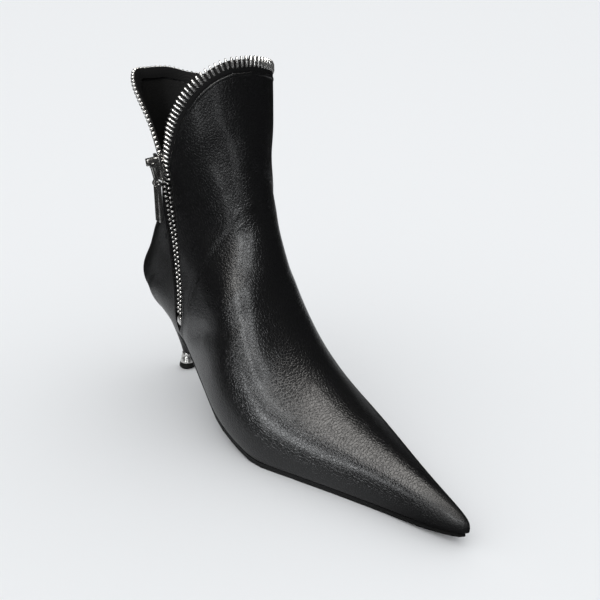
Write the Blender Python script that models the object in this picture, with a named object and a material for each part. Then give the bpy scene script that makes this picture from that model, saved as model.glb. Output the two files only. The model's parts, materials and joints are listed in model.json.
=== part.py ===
"""Zip ankle boot for the right foot: pointed toe, kitten heel, zip on the outer side.

Sizes are in millimetres until a mesh is made. X runs from the back of the counter to the toe,
-Y is the outer side of the foot and +Z is up. The floor is Z = 0.
"""

import math
from collections import namedtuple

import bmesh
import bpy
import numpy as np
from mathutils import Matrix, Vector

MM = 0.001

# Driving sizes of the last
LENGTH = 257.0
BALL_HALF = 38.0
COLLAR_HEIGHT = 195.0
HEEL_RISE = 45.3
TOE_SPRING = 4.4
BALL_X = 146.0
SEAT_X = 8.0
SPRING_X = 195.0

# Middle of the finished boot, which becomes the origin
MID_X = 129.785
MID_Y = -2.817

# Thicknesses and gaps
GAP = 0.3
WALL = 2.0
SOLE_THICK = 2.7
SOLE_BEVEL = 0.6
SOLE_EDGE = 0.5
INSOLE_THICK = 3.0
INSOLE_MARGIN = 2.4
INSOLE_BACK = 13.5
INSOLE_TIP = 0.5
CAVITY_X = 246.5
LOW_SHARE = 0.4
INNER_CORNER = 1.2

# Mesh density
COLUMNS = 10
REAR_COLUMNS = 7
ROUND_SIDES = 28
PIN_SIDES = 16
ROW_CLEAR = 2.0
SEARCH_STEPS = 30

# Heel
BREAST_X = 46.0
STEM_X = 20.0
STEM_RADIUS = 2.6
STEM_Z = 10.6
BACK_TAPER = 1.22
BREAST_TAPER = 1.9
HEEL_RINGS = 9
BREAST_STEPS = 4
LIFT_RADIUS = 5.2
LIFT_HEIGHT = 3.4
LIFT_EDGE = 0.4
FERRULE_BASE = 3.7
FERRULE_FLARE = 0.6
GROOVE_Z = 7.2
GROOVE_WIDTH = 1.4
GROOVE_EDGE = 0.3

# Zip line on the outer side
ZIP_X = 57.0
ZIP_FOOT_X = 52.6
ZIP_FOOT_Z = 43.0
ZIP_BEND_Z = 72.0
SPLIT_Z = 138.0
SLIT_HALF = 4.9
SLIT_OPENS = 6.0
LEVEL_TO_Z = 70.0
SECTION_FROM_Z = 120.0
FOOT_PLACE = 10.5
FOOT_FROM = 9.3
FOOT_T = -0.754
FOOT_SHIFT = 0.16
COLLAR_DIP = 0.42
DIP_FROM = 15.5
REAR_CORNER_Z = 178.0
REAR_LEAN = 34.7
REAR_POWER = 1.35
LAPEL_CORNER_Z = 190.5
LAPEL_LEAN = 23.4
LAPEL_POWER = 1.3
LAPEL_SWEEP = 4.6
LAPEL_SWEEP_POWER = 5
CORNER_EASE = 0.5

# Zip tape and its row of teeth, measured from the leather's edge where the zip is closed. Higher up,
# where it is open, more of the tape shows and the teeth lie further out.
TAPE_DEPTH = 1.3
TAPE_THICK = 0.8
TAPE_FROM = 0.3
TAPE_TO = 1.0
TEETH_FROM = 1.3
TEETH_TO = 4.15
TEETH_THICK = 2.6
TAPE_OPEN = 2.1
TEETH_OPEN = 3.5
OPEN_FULL_Z = 162.0
CHAIN_FROM_Z = 53.6
CHAIN_GAP = 0.9
FRAME_REACH = 6.0
STOP_SIZE = (4.4, 5.0, 2.4)
STOP_BEVEL = 0.5
STOP_Z = 49.7

# Zip slider with its crown, link and pull tab
SLIDER_Z = 141.5
SLIDER_WIDTH = 7.6
SLIDER_HEIGHT = 14.0
PLATE_THICK = 1.3
PLATE_CLEAR = 1.0
POST_SIZE = (2.4, 2.4)
EAR_INNER = 1.6
EAR_THICK = 1.5
EAR_HALF = 2.0
PIN_V = 3.5
PIN_N = 5.4
PIN_RADIUS = 0.7
PIN_HALF = 3.9
HOLE_RADIUS = 1.0
LINK_LENGTH = 12.0
LINK_HALF = 1.3
LINK_THICK = 1.8
LINK_SLANT = 5.8
TAB_SLANT = -12.0
BARREL_RADIUS = 1.4
TAB_LENGTH = 21.0
TAB_HALF = 2.9
TAB_THICK = 2.0
TAB_TOP = 1.9
KNUCKLE_RADIUS = 1.7
WINDOW_HALF = 1.8
WINDOW_FROM = 11.5
WINDOW_TO = 18.5

# Sections from toe to collar. along and top_along are shares of LENGTH, top and base shares of
# COLLAR_HEIGHT (base is None on the sole line), outer and inner half widths shares of BALL_HALF,
# feather the share of the half width left at the sole, wide the height share of the widest place,
# shoulder the roundness of the inner flank, corner how far the lower flank is from a plain ellipse
# (1.0, less is fuller, more is flatter) and steps the mesh rows up to the next section.
Section = namedtuple(
    "Section", "along base top_along top outer inner feather wide shoulder corner steps"
)
LAST = [
    Section(1.000, None, 1.000, 0.052, 0.00, 0.00, 0.90, 0.40, 2.00, 1.00, 2),
    Section(0.993, None, 0.993, 0.066, 0.07, 0.06, 0.92, 0.38, 2.00, 1.00, 2),
    Section(0.973, None, 0.973, 0.079, 0.13, 0.11, 0.92, 0.36, 1.90, 1.00, 2),
    Section(0.926, None, 0.922, 0.101, 0.22, 0.20, 0.93, 0.32, 1.80, 1.00, 3),
    Section(0.837, None, 0.829, 0.132, 0.35, 0.40, 0.93, 0.30, 1.75, 1.00, 3),
    Section(0.739, None, 0.724, 0.167, 0.55, 0.63, 0.94, 0.28, 1.75, 1.00, 3),
    Section(0.634, None, 0.619, 0.215, 0.79, 0.79, 0.95, 0.28, 1.75, 1.00, 3),
    Section(0.533, None, 0.531, 0.300, 1.00, 0.81, 0.94, 0.28, 1.75, 1.00, 3),
    Section(0.436, None, 0.475, 0.405, 1.04, 0.76, 0.89, 0.30, 1.80, 1.00, 3),
    Section(0.335, None, 0.436, 0.513, 0.90, 0.72, 0.86, 0.32, 1.85, 1.00, 3),
    Section(0.233, None, 0.410, 0.600, 0.74, 0.72, 0.82, 0.34, 1.90, 1.00, 8),
    Section(0.140, None, 0.395, 0.677, 0.68, 0.73, 0.74, 0.42, 2.00, 0.90, 5),
    Section(0.058, None, 0.389, 0.728, 0.70, 0.75, 0.48, 0.50, 2.00, 0.88, 4),
    Section(0.025, 0.262, 0.387, 0.764, 0.72, 0.77, 0.00, 0.52, 2.00, 0.84, 2),
    Section(0.010, 0.333, 0.384, 0.795, 0.76, 0.79, 0.00, 0.50, 2.00, 0.86, 3),
    Section(0.030, 0.431, 0.380, 0.831, 0.78, 0.81, 0.00, 0.50, 2.00, 1.40, 3),
    Section(0.072, 0.574, 0.375, 0.877, 0.84, 0.84, 0.00, 0.50, 2.00, 1.65, 4),
    Section(0.063, 0.744, 0.371, 0.933, 0.90, 0.88, 0.00, 0.50, 2.00, 1.40, 5),
    Section(0.030, 0.918, 0.371, 0.985, 0.95, 0.91, 0.00, 0.50, 2.00, 0.90, 0),
]

# Colour, roughness and metallic value of each finish
Finish = namedtuple("Finish", "colour roughness metallic")
LEATHER = Finish((0.012, 0.012, 0.013, 1.0), 0.32, 0.0)
SOLE_BLACK = Finish((0.02, 0.02, 0.02, 1.0), 0.6, 0.0)
LINING = Finish((0.03, 0.028, 0.027, 1.0), 0.7, 0.0)
TAPE = Finish((0.01, 0.01, 0.011, 1.0), 0.8, 0.0)
METAL = Finish((0.78, 0.77, 0.75, 1.0), 0.18, 1.0)


def clear_scene():
    for thing in list(bpy.data.objects):
        bpy.data.objects.remove(thing, do_unlink=True)


def material(name, finish):
    made = bpy.data.materials.new(name)
    made.use_nodes = True
    shader = made.node_tree.nodes["Principled BSDF"]
    shader.inputs["Base Color"].default_value = finish.colour
    shader.inputs["Roughness"].default_value = finish.roughness
    shader.inputs["Metallic"].default_value = finish.metallic
    made.diffuse_color = finish.colour
    return made


def place(point):
    """A point of the boot in millimetres, as a world position in metres."""
    return Vector((point[0] - MID_X, point[1] - MID_Y, point[2])) * MM


class Solid:
    """A mesh whose points are shared wherever two of them fall together."""

    def __init__(self):
        self.bm = bmesh.new()
        self.found = {}

    def vert(self, position):
        key = tuple(round(value, 7) for value in position)
        if key not in self.found:
            self.found[key] = self.bm.verts.new(position)
        return self.found[key]

    def face(self, corners):
        ring = [v for k, v in enumerate(corners) if v is not corners[k - 1]]
        if len(set(ring)) < 3 or len(set(ring)) < len(ring):
            return
        if self.bm.faces.get(ring) is None:
            self.bm.faces.new(ring)

    def skin(self, rows):
        """Quads between neighbouring rows of points."""
        for low, high in zip(rows, rows[1:]):
            for k in range(len(low) - 1):
                self.face([low[k], low[k + 1], high[k + 1], high[k]])

    def tube(self, rings):
        """A closed skin through rings of points, with a cap on each end."""
        looped = [ring + ring[:1] for ring in rings]
        self.skin(looped)
        self.face(rings[0][::-1])
        self.face(rings[-1])

    def finish(self, name, finish, parent=None, angle=40.0):
        bmesh.ops.recalc_face_normals(self.bm, faces=self.bm.faces)
        mesh = bpy.data.meshes.new(name)
        self.bm.to_mesh(mesh)
        self.bm.free()
        mesh.shade_smooth()
        mesh.set_sharp_from_angle(angle=math.radians(angle))
        mesh.materials.append(material(name, finish))
        made = bpy.data.objects.new(name, mesh)
        bpy.context.scene.collection.objects.link(made)
        made.parent = parent
        return made


# The last: its sole line, its sections and points on them


def sole_line(x):
    """Height of the feather edge: flat under the ball, up to the seat behind and to the toe."""
    climb = min(max((BALL_X - x) / (BALL_X - SEAT_X), 0.0), 1.0)
    spring = max((x - SPRING_X) / (LENGTH - SPRING_X), 0.0)
    rise = HEEL_RISE * climb * climb * (3.0 - 2.0 * climb)
    return SOLE_THICK + GAP + rise + TOE_SPRING * spring * spring


Station = namedtuple(
    "Station", "base_x base_z top_x top_z outer inner outer_base inner_base wide shoulder corner"
)


def monotone(values, at):
    """A curve through evenly spaced values that never swings past them."""
    values = np.array(values)
    steps = np.diff(values)
    slopes = np.zeros(len(values))
    slopes[0] = steps[0]
    slopes[-1] = steps[-1]
    for k in range(1, len(steps)):
        if steps[k - 1] * steps[k] > 0:
            slopes[k] = 2 * steps[k - 1] * steps[k] / (steps[k - 1] + steps[k])
    low = min(int(at), len(steps) - 1)
    t = at - low
    rise = steps[low] * t * t * (3 - 2 * t)
    bend = slopes[low] * t * (1 - t) ** 2 - slopes[low + 1] * t * t * (1 - t)
    return float(values[low] + rise + bend)


class Last:
    """The table's sections in millimetres, and any section between them."""

    def __init__(self):
        base_x = [row.along * LENGTH for row in LAST]
        base_z = [
            sole_line(x) if row.base is None else row.base * COLLAR_HEIGHT
            for x, row in zip(base_x, LAST)
        ]
        outer = [row.outer * BALL_HALF for row in LAST]
        inner = [row.inner * BALL_HALF for row in LAST]
        self.columns = Station(
            base_x,
            base_z,
            [row.top_along * LENGTH for row in LAST],
            [row.top * COLLAR_HEIGHT for row in LAST],
            outer,
            inner,
            [half * row.feather for half, row in zip(outer, LAST)],
            [half * row.feather for half, row in zip(inner, LAST)],
            [row.wide for row in LAST],
            [row.shoulder for row in LAST],
            [row.corner for row in LAST],
        )
        self.on_sole = sum(row.base is None for row in LAST) - 1
        self.places = []
        for k, row in enumerate(LAST):
            self.places += [k + step / row.steps for step in range(row.steps)] or [k]
        self.stations = [self.section(at) for at in self.places]

    def section(self, at):
        made = Station(*(monotone(column, at) for column in self.columns))
        if at <= self.on_sole:
            made = made._replace(base_z=sole_line(made.base_x))
        return made

    def find(self, x, z):
        """The place and t of the outer side's point at x and height z."""
        low, high = 0.0, float(len(LAST) - 1)
        for _ in range(SEARCH_STEPS):
            at = (low + high) / 2
            station = self.section(at)
            t = level(station, z)
            if on_section(station, t)[0] > x:
                low = at
            else:
                high = at
        return at, t

    def spot(self, x, z):
        at, t = self.find(x, z)
        return on_section(self.section(at), t)


def on_section(station, t):
    """A point of the outer skin: t is -1 at the outer base, 0 on top and 1 at the inner base."""
    outer_side = t < 0
    half = station.outer if outer_side else station.inner
    base = station.outer_base if outer_side else station.inner_base
    power = 1.0 if outer_side else 2.0 / station.shoulder
    corner = station.corner if outer_side else min(station.corner, INNER_CORNER)
    down = min(abs(t), 1.0)
    if down <= 1.0 - LOW_SHARE:
        turn = down / (1.0 - LOW_SHARE) * math.pi / 2
        width = half * math.sin(turn) ** power
        height = station.wide + (1.0 - station.wide) * max(math.cos(turn), 0.0) ** power
    else:
        turn = (down - 1.0 + LOW_SHARE) / LOW_SHARE * math.pi / 2
        width = base + (half - base) * max(math.cos(turn), 0.0) ** corner
        height = station.wide * (1.0 - math.sin(turn) ** corner)
    side = -1.0 if outer_side else 1.0
    return (
        station.base_x + height * (station.top_x - station.base_x),
        side * width,
        station.base_z + height * (station.top_z - station.base_z),
    )


def level(station, z):
    """The t on the outer side where a section reaches height z."""
    low, high = -1.0, 0.0
    for _ in range(SEARCH_STEPS):
        middle = (low + high) / 2
        if on_section(station, middle)[2] < z:
            low = middle
        else:
            high = middle
    return (low + high) / 2


def feather_rows(stations):
    """The sections that meet the sole, from the toe to the back of the seat."""
    last = max(k for k, s in enumerate(stations) if s.outer_base > 0)
    return stations[: last + 2]


def half_at(stations, x, side):
    """Feather half width at x, for the outer or the inner side."""
    rows = feather_rows(stations)[::-1]
    return float(np.interp(x, [s.base_x for s in rows], [getattr(s, side) for s in rows]))


# The zip line and the two leather edges beside it


def zip_line(z):
    bend = min(max((ZIP_BEND_Z - z) / (ZIP_BEND_Z - ZIP_FOOT_Z), 0.0), 1.0)
    return ZIP_X - (ZIP_X - ZIP_FOOT_X) * bend * bend


def slit_half(z):
    """Half the width of the slit, which opens from nothing above the foot of the zip."""
    return SLIT_HALF * min(max((z - ZIP_FOOT_Z) / SLIT_OPENS, 0.0), 1.0)


def open_share(z):
    """0 where the zip is closed, 1 where it is fully open."""
    return min(max((z - SPLIT_Z) / (OPEN_FULL_Z - SPLIT_Z), 0.0), 1.0)


def rear_edge(z):
    up = max((z - SPLIT_Z) / (REAR_CORNER_Z - SPLIT_Z), 0.0)
    lean = REAR_LEAN * up**REAR_POWER + TAPE_OPEN * open_share(z)
    return zip_line(z) - slit_half(z) - lean


def lapel_edge(z):
    up = max((z - SPLIT_Z) / (LAPEL_CORNER_Z - SPLIT_Z), 0.0)
    lean = LAPEL_LEAN * up**LAPEL_POWER + LAPEL_SWEEP * up**LAPEL_SWEEP_POWER
    return zip_line(z) + slit_half(z) + lean + TAPE_OPEN * open_share(z)


def crossing(station, edge):
    """The t on the outer side where a section meets an edge, or -1 where it lies ahead of it."""
    low, high = -1.0, 0.0
    x, _, z = on_section(station, low)
    if x >= edge(z):
        return low
    for _ in range(SEARCH_STEPS):
        middle = (low + high) / 2
        x, _, z = on_section(station, middle)
        if x < edge(z):
            low = middle
        else:
            high = middle
    return (low + high) / 2


def foot_shift(at):
    """How many places a row below the slit is bent ahead of the foot of the zip."""
    return FOOT_SHIFT * min(max((at - FOOT_FROM) / (FOOT_PLACE - FOOT_FROM), 0.0), 1.0)


def beside_foot(low, t):
    """1 beside the foot of the zip, falling to 0 at both ends of a row that starts at low."""
    if t < FOOT_T:
        return (t - low) / (FOOT_T - low)
    return t / FOOT_T


def collar_dip(at, t):
    """How many places a row drops on the inner side, most at the collar."""
    rise = max((at - DIP_FROM) / (len(LAST) - 1 - DIP_FROM), 0.0)
    return COLLAR_DIP * rise**2 * math.sin(math.pi * max(t, 0.0))


class Skin:
    """Outer skin of the upper, with its edge along the zip and the collar."""

    def __init__(self, last):
        self.last = last
        self.rear = []
        self.front = []
        for at, station in zip(last.places, last.stations):
            rear_end = self.zip_end(at, station, rear_edge)
            front_end = self.zip_end(at, station, lapel_edge)
            self.rear.append(self.row((at, -1.0), rear_end, REAR_COLUMNS))
            closed = front_end[0] == at
            forward = foot_shift(at) if closed else 0.0
            outer = self.row(front_end, (at, 0.0), COLUMNS, forward)
            inner = self.row((at, 0.0), (at, 1.0), COLUMNS)
            self.front.append(outer + inner[1:])
        self.ease_corner(self.rear, -1, -2)
        self.ease_corner(self.front, 0, 1)

    def zip_end(self, at, station, edge):
        """Where a row ends at the zip: level with the zip line low down, on its section above."""
        middle = crossing(station, zip_line)
        z = on_section(station, middle)[2]
        if middle == -1.0 or z < ZIP_FOOT_Z:
            return at, middle
        share = min(max((z - LEVEL_TO_Z) / (SECTION_FROM_Z - LEVEL_TO_Z), 0.0), 1.0)
        planar = on_section(station, crossing(station, edge))[2]
        z += (planar - z) * share
        return self.last.find(edge(z), z)

    def row(self, start, end, count, forward=0.0):
        """Points of the skin between two of its points, each given by its place and t.

        forward bends the row ahead where it passes the foot of the zip.
        """
        points = []
        for k in range(count + 1):
            share = k / count
            at = start[0] + (end[0] - start[0]) * share
            t = start[1] + (end[1] - start[1]) * share
            at -= forward * beside_foot(start[1], t) + collar_dip(at, t)
            points.append(on_section(self.last.section(at), t))
        return points

    def ease_corner(self, rows, column, beside):
        """Rounds the corner where a zip edge meets the collar."""
        below = np.array(rows[-2][column])
        along = np.array(rows[-1][beside])
        corner = np.array(rows[-1][column])
        eased = corner * (1 - CORNER_EASE) + (below + along) * CORNER_EASE / 2
        rows[-1][column] = tuple(eased)


def make_upper(skin, stations):
    """One hollow wall: outer skin, inner skin and the rim that joins them."""
    solid = Solid()
    front = [[solid.vert(place(p)) for p in row] for row in skin.front]
    rear = [[solid.vert(place(p)) for p in row] for row in skin.rear]
    solid.skin(front)
    solid.skin([row[::-1] for row in rear])
    bm = solid.bm
    bmesh.ops.recalc_face_normals(bm, faces=bm.faces)
    toe = next(v for row in front for v in row)
    toe_out = sum((f.normal for f in toe.link_faces), Vector())
    if toe_out.x < 0:
        bmesh.ops.reverse_faces(bm, faces=bm.faces)
    bm.normal_update()
    outer_faces = [list(f.verts) for f in bm.faces]
    rim = [e.verts[:] for e in bm.edges if len(e.link_faces) == 1]
    inside = {v: v.co - v.normal * WALL * MM for v in bm.verts}
    blunt_toe(inside, front, stations)
    partner = {v: solid.vert(position) for v, position in inside.items()}
    for corners in outer_faces:
        solid.face([partner[v] for v in reversed(corners)])
    for a, b in rim:
        solid.face([a, b, partner[b], partner[a]])
    return solid.finish("upper", LEATHER, angle=62.0)


def blunt_toe(inside, front, stations):
    """Ends the hollow at CAVITY_X: past it the inner points close on one spot."""
    end = next(k for k, s in enumerate(stations) if s.base_x <= CAVITY_X)
    spot = place((stations[end].base_x - WALL, 0.0, stations[end].base_z + 2 * WALL))
    for k in range(end):
        for v, last in zip(front[k], front[end]):
            inside[v] = spot + (inside[last] - spot) * k / end


# Sole, insole and heel


def make_outsole(stations):
    solid = Solid()
    xs = [s.base_x for s in stations if s.base_x > BREAST_X + ROW_CLEAR] + [BREAST_X]
    rings = []
    for x in xs:
        out = -half_at(stations, x, "outer_base") - SOLE_EDGE
        inn = half_at(stations, x, "inner_base") + SOLE_EDGE
        top = sole_line(x) - GAP
        low = top - SOLE_THICK
        bevel = min(SOLE_BEVEL, inn)
        ring = [
            (x, out, top),
            (x, out, low + bevel),
            (x, out + bevel, low),
            (x, inn - bevel, low),
            (x, inn, low + bevel),
            (x, inn, top),
        ]
        rings.append([solid.vert(place(p)) for p in ring])
    solid.tube(rings)
    return solid.finish("outsole", SOLE_BLACK)


def make_insole(stations):
    solid = Solid()
    front = CAVITY_X - INSOLE_MARGIN
    back = INSOLE_BACK + ROW_CLEAR
    xs = [s.base_x for s in feather_rows(stations) if back < s.base_x < front]
    xs.append(INSOLE_BACK)
    rings = []
    for x in xs:
        half = {}
        for side in ("outer_base", "inner_base"):
            near = [half_at(stations, x + d, side) for d in (-INSOLE_MARGIN, 0.0, INSOLE_MARGIN)]
            half[side] = max(min(near) - INSOLE_MARGIN, INSOLE_TIP)
        low = sole_line(x)
        ring = [
            (x, -half["outer_base"], low + INSOLE_THICK),
            (x, -half["outer_base"], low),
            (x, half["inner_base"], low),
            (x, half["inner_base"], low + INSOLE_THICK),
        ]
        rings.append([solid.vert(place(p)) for p in ring])
    solid.tube(rings)
    return solid.finish("insole", LINING)


def seat_outline(stations):
    """Points of the heel seat: its outer side from the breast to the back, then its inner side."""
    front = BREAST_X - GAP
    rows = [(front, sole_line(front))]
    rows += [
        (s.base_x, s.base_z)
        for s in feather_rows(stations)[:-1]
        if s.base_x < front - ROW_CLEAR
    ]
    outer = [(x, -half_at(stations, x, "outer_base") - SOLE_EDGE, z - GAP) for x, z in rows]
    inner = [(x, half_at(stations, x, "inner_base") + SOLE_EDGE, z - GAP) for x, z in rows]
    end = feather_rows(stations)[-1]
    back = (end.base_x - SOLE_EDGE, 0.0, end.base_z - GAP)
    return outer + [back], inner + [back]


def make_heel(stations):
    """A cone from the seat to the stem, hollowed at the breast."""
    solid = Solid()
    outer, inner = seat_outline(stations)
    outer_end, inner_end = np.array(outer[0]), np.array(inner[0])
    breast = [
        tuple(inner_end + (outer_end - inner_end) * k / BREAST_STEPS)
        for k in range(1, BREAST_STEPS)
    ]
    seat = outer + inner[-2::-1] + breast
    rings = []
    for k in range(HEEL_RINGS):
        down = k / (HEEL_RINGS - 1)
        ring = []
        for x, y, z in seat:
            turn = math.atan2(y, x - STEM_X)
            forward = max(math.cos(turn), 0.0)
            taper = BACK_TAPER + (BREAST_TAPER - BACK_TAPER) * forward
            blend = 1.0 - (1.0 - down) ** taper
            stem_x = STEM_X + STEM_RADIUS * math.cos(turn)
            stem_y = STEM_RADIUS * math.sin(turn)
            ring.append(
                (x + (stem_x - x) * blend, y + (stem_y - y) * blend, z + (STEM_Z - z) * down)
            )
        rings.append([solid.vert(place(p)) for p in ring])
    solid.skin([ring + ring[:1] for ring in rings])
    solid.face(rings[-1])
    outer_top = [solid.vert(place(p)) for p in outer]
    inner_top = [solid.vert(place(p)) for p in inner]
    breast_top = [solid.vert(place(p)) for p in breast]
    solid.face([outer_top[0], outer_top[1], inner_top[1], inner_top[0]] + breast_top)
    solid.skin([outer_top[1:], inner_top[1:]])
    return solid.finish("heel", LEATHER)


def turned(name, finish, profile):
    """A round piece on the stem's axis from a profile of radius and height, bottom to top."""
    solid = Solid()
    rings = []
    for radius, z in profile:
        ring = []
        for k in range(ROUND_SIDES):
            turn = 2 * math.pi * k / ROUND_SIDES
            ring.append((STEM_X + radius * math.cos(turn), radius * math.sin(turn), z))
        rings.append([solid.vert(place(p)) for p in ring])
    solid.tube(rings)
    return solid.finish(name, finish)


def make_heel_tip():
    narrow = LIFT_RADIUS - LIFT_EDGE
    turned(
        "top_lift",
        SOLE_BLACK,
        [(narrow, 0.0), (LIFT_RADIUS, LIFT_EDGE), (narrow, LIFT_HEIGHT)],
    )
    lip = STEM_RADIUS + FERRULE_FLARE
    groove_top = GROOVE_Z + GROOVE_WIDTH
    turned(
        "heel_ferrule",
        METAL,
        [
            (narrow - GROOVE_EDGE / 2, FERRULE_BASE),
            (narrow, FERRULE_BASE + GROOVE_EDGE),
            (lip, GROOVE_Z),
            (STEM_RADIUS, GROOVE_Z + GROOVE_EDGE),
            (STEM_RADIUS, groove_top - GROOVE_EDGE),
            (lip, groove_top),
            (STEM_RADIUS, STEM_Z - GAP),
        ],
    )


# Zip: tape and teeth follow the leather's edge up from the stop, then along the collar


EdgePoint = namedtuple("EdgePoint", "place out across opened")


def unit(vector):
    return vector / np.linalg.norm(vector)


def chain_start(rows, column, beside):
    """Edge points from the lower end of the teeth upwards, each with its inner neighbour."""
    edge = [np.array(row[column]) for row in rows]
    near = [np.array(row[beside]) for row in rows]
    first = next(k for k, spot in enumerate(edge) if spot[2] > CHAIN_FROM_Z)
    share = (CHAIN_FROM_Z - edge[first - 1][2]) / (edge[first][2] - edge[first - 1][2])
    start = [
        line[first - 1] + (line[first] - line[first - 1]) * share for line in (edge, near)
    ]
    return [tuple(start)] + list(zip(edge[first:], near[first:]))


def edge_path(rows, column, beside, collar):
    """Points along one zip edge and its half of the collar, with the skin's own directions."""
    spots = chain_start(rows, column, beside)
    last, below = rows[-1], rows[-2]
    eased = (np.array(last[collar[0]]) + np.array(below[collar[0]])) / 2
    spots[-1] = (spots[-1][0], tuple((np.array(spots[-1][1]) + eased) / 2))
    spots += [(last[k], below[k]) for k in collar]
    middle = np.array((ZIP_X, 0.0, 0.0))
    path = []
    for k, (spot, near) in enumerate(spots):
        here = np.array(spot)
        before = np.array(spots[max(k - 1, 0)][0])
        after = np.array(spots[min(k + 1, len(spots) - 1)][0])
        along = unit(after - before)
        inward = np.array(near) - here
        across = unit(along * (inward @ along) - inward)
        out = unit(np.cross(along, across))
        if out @ ((here - middle) * (1, 1, 0)) < 0:
            out = -out
        path.append(EdgePoint(here, out, across, open_share(here[2])))
    return path


def strip(name, finish, path, closed, opened, thick):
    """A flat bar at the depth of the tape, between two distances from the leather's edge.

    The distances are closed where the zip is closed, and opened where it is open.
    """
    solid = Solid()
    rings = []
    for spot in path:
        near, far = (a + (b - a) * spot.opened for a, b in zip(closed, opened))
        ring = []
        for across, lift in (
            (near, -thick / 2),
            (far, -thick / 2),
            (far, thick / 2),
            (near, thick / 2),
        ):
            depth = lift - TAPE_DEPTH
            ring.append(spot.place + spot.across * across + spot.out * depth)
        rings.append([solid.vert(place(p)) for p in ring])
    solid.tube(rings)
    return solid.finish(name, finish)


def make_zip_halves(skin):
    """Each half runs up its own edge and round its own half of the collar."""
    inner_collar = len(skin.front[-1]) - 1
    meet = inner_collar - COLUMNS // 2
    front = edge_path(skin.front, 0, 1, list(range(1, meet + 1)))
    collar = list(range(REAR_COLUMNS - 1, -1, -1))
    joined = [list(row) for row in skin.rear]
    wrap = [inner_collar - k for k in range(1, inner_collar - meet + 1)]
    for k in (-2, -1):
        joined[k] = joined[k] + [skin.front[k][c] for c in wrap]
    collar += list(range(REAR_COLUMNS + 1, REAR_COLUMNS + 1 + len(wrap)))
    rear = edge_path(joined, REAR_COLUMNS, REAR_COLUMNS - 1, collar)
    shorten(front)
    shorten(rear)
    for name, path in (("front", front), ("rear", rear)):
        closed, opened = (TAPE_FROM, TAPE_TO), (TAPE_FROM, TAPE_TO + TAPE_OPEN)
        strip("zip_tape_" + name, TAPE, path, closed, opened, TAPE_THICK)
        closed, opened = (TEETH_FROM, TEETH_TO), (TEETH_FROM + TAPE_OPEN, TEETH_TO + TEETH_OPEN)
        strip("zip_teeth_" + name, METAL, path, closed, opened, TEETH_THICK)


def shorten(path):
    """Ends a half of the zip a little before it meets the other half."""
    last, before = path[-1], path[-2]
    back = unit(before.place - last.place) * CHAIN_GAP
    path[-1] = last._replace(place=last.place + back)


def zip_frame(last, z):
    """World frame on the zip line at a height: X across the zip, Z up along it, -Y out."""
    x = zip_line(z)
    low, high = (
        Vector(last.spot(zip_line(z + step), z + step)) for step in (-FRAME_REACH, FRAME_REACH)
    )
    rear, front = (Vector(last.spot(x + step, z)) for step in (-FRAME_REACH, FRAME_REACH))
    up = (high - low).normalized()
    inward = up.cross(front - rear).normalized()
    frame = Matrix((inward.cross(up), inward, up)).transposed().to_4x4()
    frame.translation = place(last.spot(x, z))
    return frame


def box(size, middle):
    """A bmesh block, given in millimetres."""
    bm = bmesh.new()
    bmesh.ops.create_cube(bm, size=1.0)
    bmesh.ops.scale(bm, vec=Vector(size) * MM, verts=bm.verts)
    bmesh.ops.translate(bm, vec=Vector(middle) * MM, verts=bm.verts)
    return bm


def rod(radius, start, end, v, n):
    """A round bar along the local X axis."""
    bm = bmesh.new()
    turn = Matrix.Rotation(math.radians(90.0), 4, "Y")
    bmesh.ops.create_cone(
        bm,
        cap_ends=True,
        segments=PIN_SIDES,
        radius1=radius * MM,
        radius2=radius * MM,
        depth=(end - start) * MM,
        matrix=Matrix.Translation(Vector(((start + end) / 2, -n, v)) * MM) @ turn,
    )
    return bm


def as_object(name, bm, parent, helper=False):
    mesh = bpy.data.meshes.new(name)
    bm.to_mesh(mesh)
    bm.free()
    made = bpy.data.objects.new(name, mesh)
    bpy.context.scene.collection.objects.link(made)
    made.parent = parent
    if helper:
        made.hide_render = True
        made.display_type = "WIRE"
    return made


def assemble(name, finish, parent, first, joined, cut):
    """One solid from a first block, blocks joined to it and blocks cut from it."""
    made = as_object(name, first, parent)
    made.data.materials.append(material(name, finish))
    for operation, blocks in (("UNION", joined), ("DIFFERENCE", cut)):
        for k, block in enumerate(blocks):
            helper = as_object(f"{name}_{operation.lower()}_{k}", block, parent, helper=True)
            modifier = made.modifiers.new(helper.name, "BOOLEAN")
            modifier.operation = operation
            modifier.solver = "EXACT"
            modifier.object = helper
    return made


def empty(name, frame, parent=None):
    made = bpy.data.objects.new(name, None)
    bpy.context.scene.collection.objects.link(made)
    made.parent = parent
    made.matrix_local = frame
    return made


def pin_frame(v, n, slant):
    """A local frame on a pin, turned about it."""
    shift = Matrix.Translation(Vector((0.0, -n, v)) * MM)
    return shift @ Matrix.Rotation(math.radians(slant), 4, "X")


# The hardware below is built in a local frame: X forward across the zip, Z up along it and -Y out
# of the leather, so a depth n out of the leather is -n along Y.


def make_stop(last):
    seat = empty("zip_stop_seat", zip_frame(last, STOP_Z))
    width, height, thick = STOP_SIZE
    block = box((width, thick, height), (0.0, TAPE_DEPTH, 0.0))
    bmesh.ops.bevel(block, geom=block.edges[:], offset=STOP_BEVEL * MM, segments=1, affect="EDGES")
    assemble("zip_stop", METAL, seat, block, [], [])


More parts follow.
